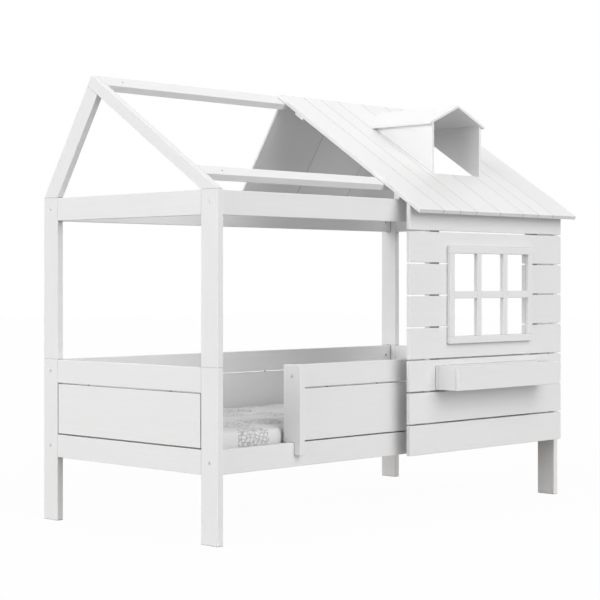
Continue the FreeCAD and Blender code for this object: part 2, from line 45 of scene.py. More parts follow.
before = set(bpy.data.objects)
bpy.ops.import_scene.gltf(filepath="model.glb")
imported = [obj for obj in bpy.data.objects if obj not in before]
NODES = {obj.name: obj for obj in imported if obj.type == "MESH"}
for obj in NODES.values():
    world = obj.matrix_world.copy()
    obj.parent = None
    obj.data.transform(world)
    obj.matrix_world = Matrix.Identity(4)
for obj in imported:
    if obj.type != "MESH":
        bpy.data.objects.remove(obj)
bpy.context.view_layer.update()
BODY = "root"

# The board's own direction decides which way its grain runs.
ALONG_X, ALONG_Y, ALONG_Z, UP_FRONT_SLOPE, UP_BACK_SLOPE = "X", "Y", "Z", "FRONT", "BACK"
QUARTER_TURN = math.radians(90)
FRONT_SLOPE = math.radians(33)
BACK_SLOPE = QUARTER_TURN - FRONT_SLOPE
GRAIN_TURN = {
    ALONG_X: (0, 0, 0),
    ALONG_Y: (0, 0, QUARTER_TURN),
    ALONG_Z: (0, QUARTER_TURN, 0),
    UP_FRONT_SLOPE: (0, -FRONT_SLOPE, -QUARTER_TURN),
    UP_BACK_SLOPE: (0, BACK_SLOPE, -QUARTER_TURN),
}


# Settings

class LacquerSettings(bpy.types.PropertyGroup):
    """The white lacquer on the boards."""
    colour: bpy.props.FloatVectorProperty(
        name="Colour", description="Colour of the lacquered boards", subtype="COLOR",
        size=3, min=0, max=1, default=(0.80, 0.80, 0.798))
    roughness: bpy.props.FloatProperty(
        name="Roughness", description="How matt the lacquer is", default=0.42, min=0, max=1)
    grain_length: bpy.props.FloatProperty(
        name="Grain length", description="Length of one streak of grain", default=0.22, unit="LENGTH")
    grain_width: bpy.props.FloatProperty(
        name="Grain width", description="Width of one streak of grain", default=0.006, unit="LENGTH")
    # Painted shade: pieces within this distance of each other darken the colour at their seam.
    seam_shade_width: bpy.props.FloatProperty(
        name="Seam width", description="Distance within which facing boards darken a seam",
        default=0.006, unit="LENGTH")
    # Painted shade: the colour's factor at the darkest of a seam between two loose boards.
    seam_shade_tone: bpy.props.FloatProperty(
        name="Seam tone", description="How light a seam between two loose boards is", default=0.25,
        min=0, max=1, subtype="FACTOR")
    # Painted shade: the colour's factor at the darkest of a filled seam of a glued piece.
    glued_seam_shade_tone: bpy.props.FloatProperty(
        name="Glued seam tone", description="How light a filled seam of a glued piece is",
        default=0.8, min=0, max=1, subtype="FACTOR")
    # Painted light: the roof boards' colour is raised to stand in for the extra light they take from
    # above.
    roof_painted_light: bpy.props.FloatProperty(
        name="Roof tone", description="How much lighter the roof boards are", default=1.03)
    # Painted shade: width of the darker strip along each long edge of a roof board.
    groove_shade_width: bpy.props.FloatProperty(
        name="Groove width", description="Dark strip along each edge of a roof board",
        default=0.0016, unit="LENGTH", precision=4)
    # Painted shade: the colour's factor at the bottom of a groove.
    groove_shade_tone: bpy.props.FloatProperty(
        name="Groove tone", description="How light the bottom of a groove is", default=0.3,
        min=0, max=1, subtype="FACTOR")
    grain_depth: bpy.props.FloatProperty(
        name="Grain depth", description="Depth of the grain under the lacquer", default=0.00012,
        unit="LENGTH", precision=5)


class BareWoodSettings(bpy.types.PropertyGroup):
    """The unpainted slats and dowels."""
    pine_light: bpy.props.FloatVectorProperty(
        name="Pine", description="Light wood between the rings", subtype="COLOR",
        size=3, min=0, max=1, default=(0.62, 0.44, 0.25))
    pine_dark: bpy.props.FloatVectorProperty(
        name="Pine rings", description="Dark wood of the rings", subtype="COLOR",
        size=3, min=0, max=1, default=(0.42, 0.26, 0.12))
    beech: bpy.props.FloatVectorProperty(
        name="Beech", description="Wood of the dowels", subtype="COLOR",
        size=3, min=0, max=1, default=(0.60, 0.42, 0.27))
    ring_width: bpy.props.FloatProperty(
        name="Ring width", description="Distance between two rings", default=0.0216, unit="LENGTH")


class SteelSettings(bpy.types.PropertyGroup):
    """The zinc-plated fasteners."""
    colour: bpy.props.FloatVectorProperty(
        name="Colour", description="Colour of the plating", subtype="COLOR",
        size=3, min=0, max=1, default=(0.66, 0.67, 0.68))
    roughness: bpy.props.FloatProperty(
        name="Roughness", description="How dull the plating is", default=0.45, min=0, max=1)
    # Painted shade: the colour's factor at the bottom of a bolt's socket.
    socket_shade_tone: bpy.props.FloatProperty(
        name="Socket tone", description="How light the bottom of a bolt's socket is", default=0.25,
        min=0, max=1, subtype="FACTOR")


class MattressSettings(bpy.types.PropertyGroup):
    """The mattress and its cover."""
    colour: bpy.props.FloatVectorProperty(
        name="Cover", description="Colour of the cover", subtype="COLOR",
        size=3, min=0, max=1, default=(0.76, 0.76, 0.765))
    print_colour: bpy.props.FloatVectorProperty(
        name="Print", description="Colour of the cover's plain pattern", subtype="COLOR",
        size=3, min=0, max=1, default=(0.30, 0.30, 0.31))
    patch_pitch: bpy.props.FloatProperty(
        name="Patch pitch", description="Distance between two patches of the pattern", default=0.27,
        unit="LENGTH")
    patch_share: bpy.props.FloatProperty(
        name="Patch share", description="How far a patch reaches, as a share of the pitch",
        default=0.36, min=0, max=1, subtype="FACTOR")
    patch_shift: bpy.props.FloatVectorProperty(
        name="Patch shift", description="Where the patches start", size=3, subtype="TRANSLATION",
        unit="LENGTH", default=(-0.18, 0.0, 0.0))
    lines_per_metre: bpy.props.FloatProperty(
        name="Lines per metre", description="How close the pattern's lines lie", default=52.0)
    line_wander: bpy.props.FloatProperty(
        name="Line wander", description="How far the pattern's lines stray from their cells",
        default=0.09, unit="LENGTH")
    thread_colour: bpy.props.FloatVectorProperty(
        name="Thread", description="Colour of the quilting thread", subtype="COLOR",
        size=3, min=0, max=1, default=(0.70, 0.70, 0.70))
    inset: bpy.props.FloatProperty(
        name="Inset", description="How much smaller the form starts than it ends", default=0.011,
        unit="LENGTH")
    voxel: bpy.props.FloatProperty(
        name="Voxel", description="Cell size of the remeshed form", default=0.014, unit="LENGTH")
    pressure: bpy.props.FloatProperty(
        name="Pressure", description="Pressure inside the cover", default=4.0)
    frames: bpy.props.IntProperty(
        name="Frames", description="Length of the simulation", default=20)
    swell: bpy.props.FloatProperty(
        name="Swell", description="The furthest that a point may move", default=0.012, unit="LENGTH")
    quilt_pitch: bpy.props.FloatProperty(
        name="Quilting pitch", description="Distance between two quilted lines", default=0.150,
        unit="LENGTH")
    quilt_depth: bpy.props.FloatProperty(
        name="Quilting depth", description="Depth of a quilted line", default=0.007, unit="LENGTH")
    quilt_swing: bpy.props.FloatProperty(
        name="Quilting swing", description="How far a quilted line wanders sideways",
        default=0.014, unit="LENGTH")
    quilt_reach: bpy.props.FloatProperty(
        name="Quilting reach", description="How far from a quilted line the cover sinks, in pitches",
        default=0.4, min=0, max=1, subtype="FACTOR")
    wrinkle_depth: bpy.props.FloatProperty(
        name="Wrinkle depth", description="Depth of the soft wrinkles", default=0.003, unit="LENGTH")
    stitch_pitch: bpy.props.FloatProperty(
        name="Stitch pitch", description="Distance between two stitches", default=0.011, unit="LENGTH")
    stitch_length: bpy.props.FloatProperty(
        name="Stitch length", description="Length of one stitch", default=0.007, unit="LENGTH")
    stitch_radius: bpy.props.FloatProperty(
        name="Stitch radius", description="Radius of the thread", default=0.0009, unit="LENGTH")
    seam_margin: bpy.props.FloatProperty(
        name="Seam margin", description="Bare stretch at both ends of a stitched line", default=0.03,
        unit="LENGTH")
    post_room: bpy.props.FloatProperty(
        name="Room at the post", description="Gap between the cover and the guard post",
        default=0.003, unit="LENGTH")


class StudioSettings(bpy.types.PropertyGroup):
    """Floor, light and camera."""
    floor_colour: bpy.props.FloatVectorProperty(
        name="Floor", description="Colour of the floor", subtype="COLOR",
        size=3, min=0, max=1, default=(0.42, 0.42, 0.42))
    floor_size: bpy.props.FloatProperty(
        name="Floor size", description="Side of the floor", default=60.0, unit="LENGTH")
    floor_shadow: bpy.props.FloatProperty(
        name="Floor shadow", description="How much of the floor's own shading the camera sees",
        default=0.06, min=0, max=1, subtype="FACTOR")
    floor_glow: bpy.props.FloatProperty(
        name="Floor glow", description="Brightness of the floor to the camera, before its shading",
        default=1.03)
    sky_strength: bpy.props.FloatProperty(
        name="Sky", description="Strength of the light from all round", default=0.22)
    lamp_spread: bpy.props.FloatProperty(
        name="Lamp spread", description="Angle that each soft lamp fills", default=math.radians(60),
        subtype="ANGLE")
    left_lamp: bpy.props.FloatProperty(
        name="Left lamp", description="Strength of the soft lamp beyond the open end", default=2.46)
    left_lamp_heading: bpy.props.FloatProperty(
        name="Left lamp heading", description="Where the left lamp hangs, round from the right end",
        default=math.radians(170), subtype="ANGLE")
    left_lamp_height: bpy.props.FloatProperty(
        name="Left lamp height", description="Angle of the left lamp over the floor",
        default=math.radians(16), subtype="ANGLE")
    front_lamp: bpy.props.FloatProperty(
        name="Front lamp", description="Strength of the soft lamp before the front", default=2.13)
    front_lamp_heading: bpy.props.FloatProperty(
        name="Front lamp heading", description="Where the front lamp hangs, round from the right end",
        default=math.radians(270), subtype="ANGLE")
    front_lamp_height: bpy.props.FloatProperty(
        name="Front lamp height", description="Angle of the front lamp over the floor",
        default=math.radians(29), subtype="ANGLE")
    back_lamp: bpy.props.FloatProperty(
        name="Back lamp", description="Strength of the soft lamp behind the right end", default=0.5)
    back_lamp_heading: bpy.props.FloatProperty(
        name="Back lamp heading", description="Where the back lamp hangs, round from the right end",
        default=math.radians(60), subtype="ANGLE")
    back_lamp_height: bpy.props.FloatProperty(
        name="Back lamp height", description="Angle of the back lamp over the floor",
        default=math.radians(45), subtype="ANGLE")
    camera_place: bpy.props.FloatVectorProperty(
        name="Camera", description="Where the camera stands", size=3, subtype="TRANSLATION",
        unit="LENGTH", default=(-5.02807, -4.75206, 0.95371))
    camera_turn: bpy.props.FloatProperty(
        name="Camera turn", description="Heading of the camera, from straight along the bed's depth",
        default=math.radians(-45.6124), subtype="ANGLE")
    camera_lens: bpy.props.FloatProperty(
        name="Lens", description="Focal length on a 36 mm sensor, in millimetres", default=98.55)
    camera_drop: bpy.props.FloatProperty(
        name="Lens shift", description="Shift of the picture under the horizon", default=-0.03185)


SETTINGS = (
    ("bed_lacquer", LacquerSettings),
    ("bed_bare_wood", BareWoodSettings),
    ("bed_steel", SteelSettings),
    ("bed_mattress", MattressSettings),
    ("bed_studio", StudioSettings),
)


# Help with node trees

class Tree:
    """A node tree, with short calls for what every tree here needs."""

    def __init__(self, tree):
        self.tree = tree

    def wire(self, node, inputs):
        """Give a node's inputs, by name or number, a fixed value or another node's output."""
        for key, value in inputs.items():
            if isinstance(value, bpy.types.NodeSocket):
                self.tree.links.new(value, node.inputs[key])
            else:
                node.inputs[key].default_value = value

    def add(self, kind, inputs=None, **settings):
        """A new node with its settings and its inputs."""
        node = self.tree.nodes.new(kind)
        for key, value in settings.items():
            setattr(node, key, value)
        self.wire(node, inputs or {})
        return node

    def maths(self, operation, *values):
        """The result of one operation on fixed values or other nodes' outputs."""
        node = self.add("ShaderNodeMath", dict(enumerate(values)), operation=operation)
        return node.outputs["Value"]

    def seen(self):
        """One for rays from the camera or off a gloss, and nought for light that only bounces."""
        path = self.add("ShaderNodeLightPath")
        return self.maths("MAXIMUM", path.outputs["Is Camera Ray"], path.outputs["Is Glossy Ray"])


# A mix node has sockets for every kind of value. These numbers are the colours' own.
MIX_FIRST, MIX_SECOND, MIX_RESULT = 6, 7, 2

# Painted shade in a seam: how open to the light a point is where the painted shade is full, and where
# it starts to darken.
SEAM_SHUT, SEAM_OPEN = 0.4, 0.8

# The painted shade strip at a groove is full up to this share of its width, and fades over the rest.
GROOVE_SHADE_FULL = 0.5

# A wave texture's scale, times the length of one wave.
WAVE_SCALE = math.pi / 10


class Shader(Tree):
    """A material, with short calls for the textures that the finishes share."""

    def __init__(self, name):
        self.material = bpy.data.materials.new(name)
        self.material.use_nodes = True
        super().__init__(self.material.node_tree)
        self.surface = self.tree.nodes["Principled BSDF"]

    def dress(self, **inputs):
        """Set the surface's inputs, named with underscores in place of spaces."""
        self.wire(self.surface, {key.replace("_", " "): value for key, value in inputs.items()})

    def place(self, turn=(0, 0, 0), scale=(1, 1, 1), shift=(0, 0, 0)):
        """The point on the object, turned, stretched and shifted."""
        point = self.add("ShaderNodeTexCoord").outputs["Object"]
        turned = self.add(
            "ShaderNodeMapping", {"Vector": point, "Rotation": turn}, vector_type="TEXTURE")
        stretched = self.add("ShaderNodeMapping", {
            "Vector": turned.outputs["Vector"], "Scale": scale, "Location": shift})
        return stretched.outputs["Vector"]

    def noise(self, place, scale=1.0, detail=3.0, roughness=0.5, output="Fac"):
        node = self.add("ShaderNodeTexNoise", {
            "Vector": place, "Scale": scale, "Detail": detail, "Roughness": roughness})
        return node.outputs[output]

    def ramp(self, value, low, high, low_at=0.0, high_at=1.0):
        """A colour that runs from low to high with the value."""
        node = self.add("ShaderNodeValToRGB", {"Fac": value})
        stops = node.color_ramp.elements
        for stop, place, colour in zip(stops, (low_at, high_at), (low, high)):
            stop.position = place
            stop.color = (*colour, 1)
        return node.outputs["Color"]

    def mix(self, share, first, second, blend="MIX"):
        """Two colours mixed by a fixed share."""
        node = self.add("ShaderNodeMix", {
            "Factor": share, MIX_FIRST: first, MIX_SECOND: second},
            data_type="RGBA", blend_type=blend)
        return node.outputs[MIX_RESULT]

    def paint_seam_shade(self, colour, tone):
        """The colour with painted shade: darker in the narrow seams between two pieces, where ambient
        occlusion finds them.
        """
        settings = bpy.context.scene.bed_lacquer
        seam = self.add("ShaderNodeAmbientOcclusion", {"Distance": settings.seam_shade_width}, samples=4)
        painted_seam_shade = self.ramp(seam.outputs["AO"], grey(tone), grey(1), SEAM_SHUT, SEAM_OPEN)
        return self.mix(1.0, colour, painted_seam_shade, "MULTIPLY")

    def paint_groove_shade(self, colour, left, right):
        """The colour with painted shade: darker in the grooves along a board's two long edges."""
        settings = bpy.context.scene.bed_lacquer
        across = self.add("ShaderNodeSeparateXYZ", {"Vector": self.place()}).outputs["X"]
        from_left = self.maths("SUBTRACT", across, left)
        from_right = self.maths("SUBTRACT", right, across)
        inside = self.maths("MINIMUM", from_left, from_right)
        share = self.maths("DIVIDE", inside, settings.groove_shade_width)
        tone = self.ramp(share, grey(settings.groove_shade_tone), grey(1), GROOVE_SHADE_FULL, 1.0)
        return self.mix(1.0, colour, tone, "MULTIPLY")

    def bump(self, height, depth):
        """Relief of a real depth, in metres, on the surface."""
        relief = self.add("ShaderNodeBump", {"Height": height, "Distance": depth, "Strength": 1.0})
        self.dress(Normal=relief.outputs["Normal"])


def grey(tone):
    """A colour, or any three equal values, from one."""
    return (tone, tone, tone)


def shade(colour, factor):
    """The colour made lighter or darker by a factor."""
    return tuple(min(1.0, channel * factor) for channel in colour)


def give(obj, material):
    """Put one material on a piece, in place of any other."""
    obj.data.materials.clear()
    obj.data.materials.append(material)


# Finishes

def white_lacquer(name, grain, seam_shade_tone, tone=1.0, edges=None):
    """Satin lacquer through which the grain shows faintly, as long soft streaks, with painted shade in
    its seams.

    The edges, where given, are the places along the bed of a roof board's two grooves, which get
    painted shade.
    """
    settings = bpy.context.scene.bed_lacquer
    shader = Shader(name)
    colour = shade(settings.colour, tone)
    turn = GRAIN_TURN[grain]
    streak = (1 / settings.grain_length, 1 / settings.grain_width, 1 / settings.grain_width)
    streaks = shader.noise(shader.place(turn, scale=streak), detail=4.0, roughness=0.6)
    clouds = shader.noise(shader.place(turn, scale=(1.2, 4, 4)), detail=2.0)
    fine = shader.noise(shader.place(), scale=900.0, detail=2.0)
    streaked = shader.ramp(
        streaks, shade(colour, 0.975), shade(colour, 1.01), low_at=0.35, high_at=0.65)
    clouded = shader.ramp(clouds, shade(colour, 0.98), shade(colour, 1.01), low_at=0.3, high_at=0.7)
    tinted = shader.mix(0.5, streaked, clouded)
    # Painted shade in the roof boards' grooves.
    groove_shaded = shader.paint_groove_shade(tinted, *edges) if edges else tinted
    dull = shader.ramp(clouds, grey(settings.roughness - 0.05), grey(settings.roughness + 0.06))
    # The base colour carries painted shade in the seams.
    shader.dress(
        Base_Color=shader.paint_seam_shade(groove_shaded, seam_shade_tone), Roughness=dull, Specular_IOR_Level=0.35)
    fine_share = 0.08
    height = shader.maths("ADD", streaks, shader.maths("MULTIPLY", fine, fine_share))
    shader.bump(height, depth=settings.grain_depth)
    return shader.material


def bare_wood(name, grain, light, dark, ring_width):
    """Planed wood with growth rings that wander along the board, and fine pores."""
    shader = Shader(name)
    turn = GRAIN_TURN[grain]
    rings = shader.add("ShaderNodeTexWave", {
        "Vector": shader.place(turn, scale=(0.6, 1, 1)), "Scale": WAVE_SCALE / ring_width,
        "Distortion": 3.5, "Detail": 2.0}, wave_type="RINGS", rings_direction="X")
    pores = shader.noise(shader.place(turn, scale=(40, 1400, 1400)))
    wood = shader.ramp(rings.outputs["Fac"], light, dark, low_at=0.35)
    pored = shader.ramp(pores, shade(dark, 0.8), light, low_at=0.3, high_at=0.55)
    shader.dress(Base_Color=shader.mix(0.3, wood, pored), Roughness=0.62)
    shader.bump(pores, depth=0.0001)
    return shader.material


def zinc_plate(name):
    """Dull bright zinc over turned steel, a little uneven, with painted shade in its sockets."""
    settings = bpy.context.scene.bed_steel
    shader = Shader(name)
    blotches = shader.noise(shader.place(), scale=260.0, detail=4.0)
    dark, light = shade(settings.colour, 0.75), shade(settings.colour, 1.15)
    tint = shader.ramp(blotches, dark, light, low_at=0.3, high_at=0.7)
    dull = shader.ramp(blotches, grey(settings.roughness - 0.1), grey(settings.roughness + 0.12))
    # The base colour carries painted shade in the sockets.
    shader.dress(
        Base_Color=shader.paint_seam_shade(tint, settings.socket_shade_tone), Roughness=dull, Metallic=1.0)
    shader.bump(shader.noise(shader.place(), scale=1800.0, detail=2.0), depth=0.00003)
    return shader.material


def knitted_cover(name):
    """A pale knitted cover with patches of a plain line pattern."""
    settings = bpy.context.scene.bed_mattress
    shader = Shader(name)
    weave = shader.maths("MULTIPLY", *(
        shader.add("ShaderNodeTexWave", {
            "Vector": shader.place(), "Scale": 120.0, "Distortion": 1.5},
            bands_direction=direction).outputs["Fac"]
        for direction in ("X", "Y")))
    wander = shader.noise(shader.place(), scale=9.0, detail=2.0, output="Color")
    drift = shader.add("ShaderNodeVectorMath", {
        0: wander, 1: grey(settings.line_wander), 2: shader.place()}, operation="MULTIPLY_ADD")
    lines = shader.add("ShaderNodeTexVoronoi", {
        "Vector": drift.outputs["Vector"], "Scale": settings.lines_per_metre},
        feature="DISTANCE_TO_EDGE")
    patches = shader.add("ShaderNodeTexVoronoi", {
        "Vector": shader.place(shift=settings.patch_shift), "Scale": 1 / settings.patch_pitch,
        "Randomness": 0.6}, voronoi_dimensions="2D")
    bare = shader.maths("GREATER_THAN", patches.outputs["Distance"], settings.patch_share)
    pattern = shader.maths("ADD", lines.outputs["Distance"], bare)
    printed = shader.ramp(
        pattern, settings.print_colour, settings.colour, low_at=0.06, high_at=0.11)
    knitted = shader.ramp(weave, shade(settings.colour, 0.9), settings.colour, high_at=0.6)
    shader.dress(
        Base_Color=shader.mix(0.35, printed, knitted), Roughness=0.9,
        Sheen_Weight=0.2, Sheen_Roughness=0.5)
    fuzz = shader.noise(shader.place(), scale=1500.0, detail=2.0)
    shader.bump(shader.maths("ADD", weave, fuzz), depth=0.0004)
    return shader.material


def sewing_thread(name):
    """Matt twisted thread."""
    thread = bpy.context.scene.bed_mattress.thread_colour
    shader = Shader(name)
    twist = shader.noise(shader.place(), scale=900.0, detail=2.0)
    tint = shader.ramp(twist, shade(thread, 0.85), thread, low_at=0.3, high_at=0.7)
    shader.dress(Base_Color=tint, Roughness=0.8)
    return shader.material


# Help with meshes and Geometry Nodes

def mesh_object(name, mesh):
    """A new object at the origin for a mesh that is already in its place."""
    obj = bpy.data.objects.new(name, mesh)
    bpy.context.scene.collection.objects.link(obj)
    return obj


def settle(obj):
    """Turn an object with live modifiers into one with a plain mesh, in the same place."""
    evaluated = obj.evaluated_get(bpy.context.evaluated_depsgraph_get())
    mesh = bpy.data.meshes.new_from_object(evaluated)
    mesh.name = obj.name
    obj.modifiers.clear()
    if obj.type == "MESH":
        obj.data = mesh
        return obj
    name = obj.name
    bpy.data.objects.remove(obj)
    return mesh_object(name, mesh)


class Nodes(Tree):
    """A Geometry Nodes tree with named inputs for its sizes."""

    def __init__(self, name, **inputs):
        super().__init__(bpy.data.node_groups.new(name, "GeometryNodeTree"))
        face = self.tree.interface
        for way in ("INPUT", "OUTPUT"):
            face.new_socket("Geometry", in_out=way, socket_type="NodeSocketGeometry")
        self.identifiers = {}
        for label, (kind, value) in inputs.items():
            socket = face.new_socket(label, in_out="INPUT", socket_type=kind)
            if value is not None:
                socket.default_value = value
            self.identifiers[label] = socket.identifier
        self.given = self.add("NodeGroupInput").outputs

    def attribute(self, name, kind):
        """A value that the points carry with them."""
        node = self.add("GeometryNodeInputNamedAttribute", {"Name": name}, data_type=kind)
        return node.outputs["Attribute"]

    def vector(self, x, y, z):
        return self.add("ShaderNodeCombineXYZ", {"X": x, "Y": y, "Z": z}).outputs["Vector"]

    def finish(self, geometry):
        """End the tree as every tree here ends: real geometry, with its material."""
        real = self.add("GeometryNodeRealizeInstances", {"Geometry": geometry})
        painted = self.add("GeometryNodeSetMaterial", {
            "Geometry": real.outputs["Geometry"], "Material": self.given["Material"]})
        self.add("NodeGroupOutput", {"Geometry": painted.outputs["Geometry"]})

    def run(self, obj, **values):
        """Apply the tree to an object, with its inputs set, as a plain mesh."""
        modifier = obj.modifiers.new(self.tree.name, "NODES")
        modifier.node_group = self.tree
        for label, value in values.items():
            modifier[self.identifiers[label]] = value
        bpy.context.view_layer.update()
        return settle(obj)


def loose_parts(node_name):
    """The separate solids of a CAD node, each as the list of its corner points."""
    work = bmesh.new()
    work.from_mesh(NODES[node_name].data)
    bmesh.ops.remove_doubles(work, verts=work.verts, dist=1e-6)
    work.verts.ensure_lookup_table()
    seen = set()
    parts = []
    for first in work.verts:
        if first.index in seen:
            continue
        seen.add(first.index)
        queue = [first]
        points = []
        while queue:
            vert = queue.pop()
            points.append(vert.co.copy())
            for edge in vert.link_edges:
                other = edge.other_vert(vert)
                if other.index not in seen:
                    seen.add(other.index)
                    queue.append(other)
        parts.append(points)
    work.free()
    return parts


def long_axis(points):
    """The middle, direction, length and radius of a round rod, from its surface's points."""
    middle = sum(points, Vector()) / len(points)
    far = max(points, key=lambda point: (point - middle).length)
    ends = [point for point in points if (point - middle).dot(far - middle) > 0]
    end = sum(ends, Vector()) / len(ends)
    direction = (end - middle).normalized()
    along = [(point - middle).dot(direction) for point in points]
    length = max(along) - min(along)
    radius = max(((point - middle) - direction * step).length for point, step in zip(points, along))
    return middle + direction * ((max(along) + min(along)) / 2), direction, length, radius


# Boards

LACQUERED = {
    ALONG_X: (
        "front_side_rail", "back_side_rail", "back_panel", "back_top_rail", "guard_panel",
        "guard_top_rail", "front_upper_rail", "back_upper_rail", "ridge_beam", "front_purlin",
        "facade_boards_lower", "facade_board_under_window", "facade_boards_beside_window",
        "facade_board_over_window", "facade_board_top", "planter_box", "roof_cross_batten",
        "eave_plate", "window_frame",
    ),
    ALONG_Y: (
        "end_bottom_rail_left", "end_bottom_rail_right", "end_panel_left", "end_panel_right",
        "end_top_rail_left", "end_top_rail_right", "upper_end_rail_left", "upper_end_rail_right",
        "dormer_cheeks", "dormer_roof",
    ),
    ALONG_Z: (
        "lower_post_front_left", "lower_post_front_right", "lower_post_back_left",
        "lower_post_back_right", "upper_post_front_left", "upper_post_front_right",
        "upper_post_back_left", "upper_post_back_right", "guard_post", "facade_battens",
        "facade_spacers", "window_bars",
    ),
    UP_FRONT_SLOPE: ("front_rafter_left", "front_rafter_right"),
    UP_BACK_SLOPE: ("back_rafter_left", "back_rafter_right", "back_roof_sheets"),
}

# These are glued up and filled before the lacquer, so their own seams hardly show and get only a faint
# painted shade.
GLUED = ("window_frame", "window_bars", "planter_box", "dormer_cheeks", "dormer_roof")

# How much the roof boards' tones differ, and how far one board is from the next along their wave.
ROOF_TONE_SWING = 0.012
ROOF_TONE_STEP = 2.4

# A groove this far off, in metres, leaves a board's edge bare of painted shade.
OUT_OF_THE_WAY = 1.0


def lacquer(names, material_name, grain, seam_shade_tone):
    """Give the named pieces one lacquer, if there are any."""
    if names:
        material = white_lacquer(material_name, grain, seam_shade_tone)
        for name in names:
            give(NODES[name], material)


class BED_OT_lacquered_boards(bpy.types.Operator):
    """Lacquer every board of the frame and the house front, with the grain along the board"""
    bl_idname = "bed.lacquered_boards"
    bl_label = "Lacquered boards"

    def execute(self, context):
        settings = context.scene.bed_lacquer
        for grain, names in LACQUERED.items():
            glued = [name for name in names if name in GLUED]
            loose = [name for name in names if name not in GLUED]
            lacquer(loose, f"white_lacquer_{grain.lower()}", grain, settings.seam_shade_tone)
            lacquer(glued, f"glued_lacquer_{grain.lower()}", grain, settings.glued_seam_shade_tone)
        return {"FINISHED"}


class BED_OT_roof_boards(bpy.types.Operator):
    """Lacquer the roof boards, each a little different from the next, with painted shade in the
    grooves between
    """
    bl_idname = "bed.roof_boards"
    bl_label = "Roof boards"

    def execute(self, context):
        settings = context.scene.bed_lacquer
        names = sorted(name for name in NODES if name.startswith("roof_board_"))
        for number, name in enumerate(names):
            low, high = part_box(name)
            left = low.x if name != names[0] else low.x - OUT_OF_THE_WAY
            right = high.x if name != names[-1] else high.x + OUT_OF_THE_WAY
            swing = ROOF_TONE_SWING * math.sin(ROOF_TONE_STEP * number)
            # The swing is each board's own random tone; the roof factor is painted light.
            tone = settings.roof_painted_light * (1.0 + swing)
            material = white_lacquer(
                f"white_lacquer_{name}", UP_FRONT_SLOPE, settings.seam_shade_tone, tone, (left, right))
            give(NODES[name], material)
        return {"FINISHED"}


class BED_OT_bed_base(bpy.types.Operator):
    """Give the slats and their ledges bare pine"""
    bl_idname = "bed.bed_base"
    bl_label = "Slats and ledges"

    def execute(self, context):
        wood = context.scene.bed_bare_wood
        slats = bare_wood("pine_slats", ALONG_Y, wood.pine_light, wood.pine_dark, wood.ring_width)
        ledges = bare_wood("pine_ledges", ALONG_X, wood.pine_light, wood.pine_dark, wood.ring_width)
        give(NODES["slats"], slats)
        give(NODES["slat_ledges"], ledges)
        return {"FINISHED"}


# Fasteners

class BED_OT_bolts_and_screws(bpy.types.Operator):
    """Plate the bolts, barrel nuts and screws"""
    bl_idname = "bed.bolts_and_screws"
    bl_label = "Bolts and screws"

    def execute(self, context):
        plated = zinc_plate("zinc_plate")
        for name in ("connector_bolts", "wood_screws"):
            give(NODES[name], plated)
        return {"FINISHED"}


def fluted_dowel_tree():
    """Fluted dowels with chamfered ends, one on every point, turned to the point's direction.

    Each is a rod of radius and length 1 until it is placed, so the flutes and the chamfer are
    shares of the radius.
    """
    nodes = Nodes(
        "fluted_dowels",
        Radius=("NodeSocketFloat", 0.004),
        Flutes=("NodeSocketInt", 12),
        Depth=("NodeSocketFloat", 0.0004),
        Chamfer=("NodeSocketFloat", 0.00048),
        Material=("NodeSocketMaterial", None),
    )
    given = nodes.given
    corners = nodes.maths("MULTIPLY", given["Flutes"], 2)
    rod = nodes.add("GeometryNodeMeshCylinder", {
        "Vertices": corners, "Side Segments": 3, "Depth": 1.0, "Radius": 1.0}, fill_type="NGON")
    number = nodes.add("GeometryNodeInputIndex").outputs["Index"]
    place = nodes.add("GeometryNodeInputPosition").outputs["Position"]
    height = nodes.maths(
        "ABSOLUTE", nodes.add("ShaderNodeSeparateXYZ", {"Vector": place}).outputs["Z"])
    nearly_half = 0.49
    at_end = nodes.maths("GREATER_THAN", height, nearly_half)
    groove = nodes.maths("DIVIDE", given["Depth"], given["Radius"])
    cut = nodes.maths("MULTIPLY", nodes.maths("MODULO", number, 2), groove)
    chamfer = nodes.maths("DIVIDE", given["Chamfer"], given["Radius"])
    bevel = nodes.maths("MULTIPLY", at_end, chamfer)
    width = nodes.maths("SUBTRACT", 1.0, nodes.maths("ADD", cut, bevel))
    narrowed = nodes.add("ShaderNodeVectorMath", {
        0: place, 1: nodes.vector(width, width, 1.0)}, operation="MULTIPLY")
    shaped = nodes.add("GeometryNodeSetPosition", {
        "Geometry": rod.outputs["Mesh"], "Position": narrowed.outputs["Vector"]})
    turn = nodes.add("FunctionNodeAlignRotationToVector", {
        "Vector": nodes.attribute("direction", "FLOAT_VECTOR")}, axis="Z")
    size = nodes.vector(given["Radius"], given["Radius"], nodes.attribute("length", "FLOAT"))
    dowels = nodes.add("GeometryNodeInstanceOnPoints", {
        "Points": given["Geometry"], "Instance": shaped.outputs["Geometry"],
        "Rotation": turn.outputs["Rotation"], "Scale": size})
    nodes.finish(dowels.outputs["Instances"])
    return nodes


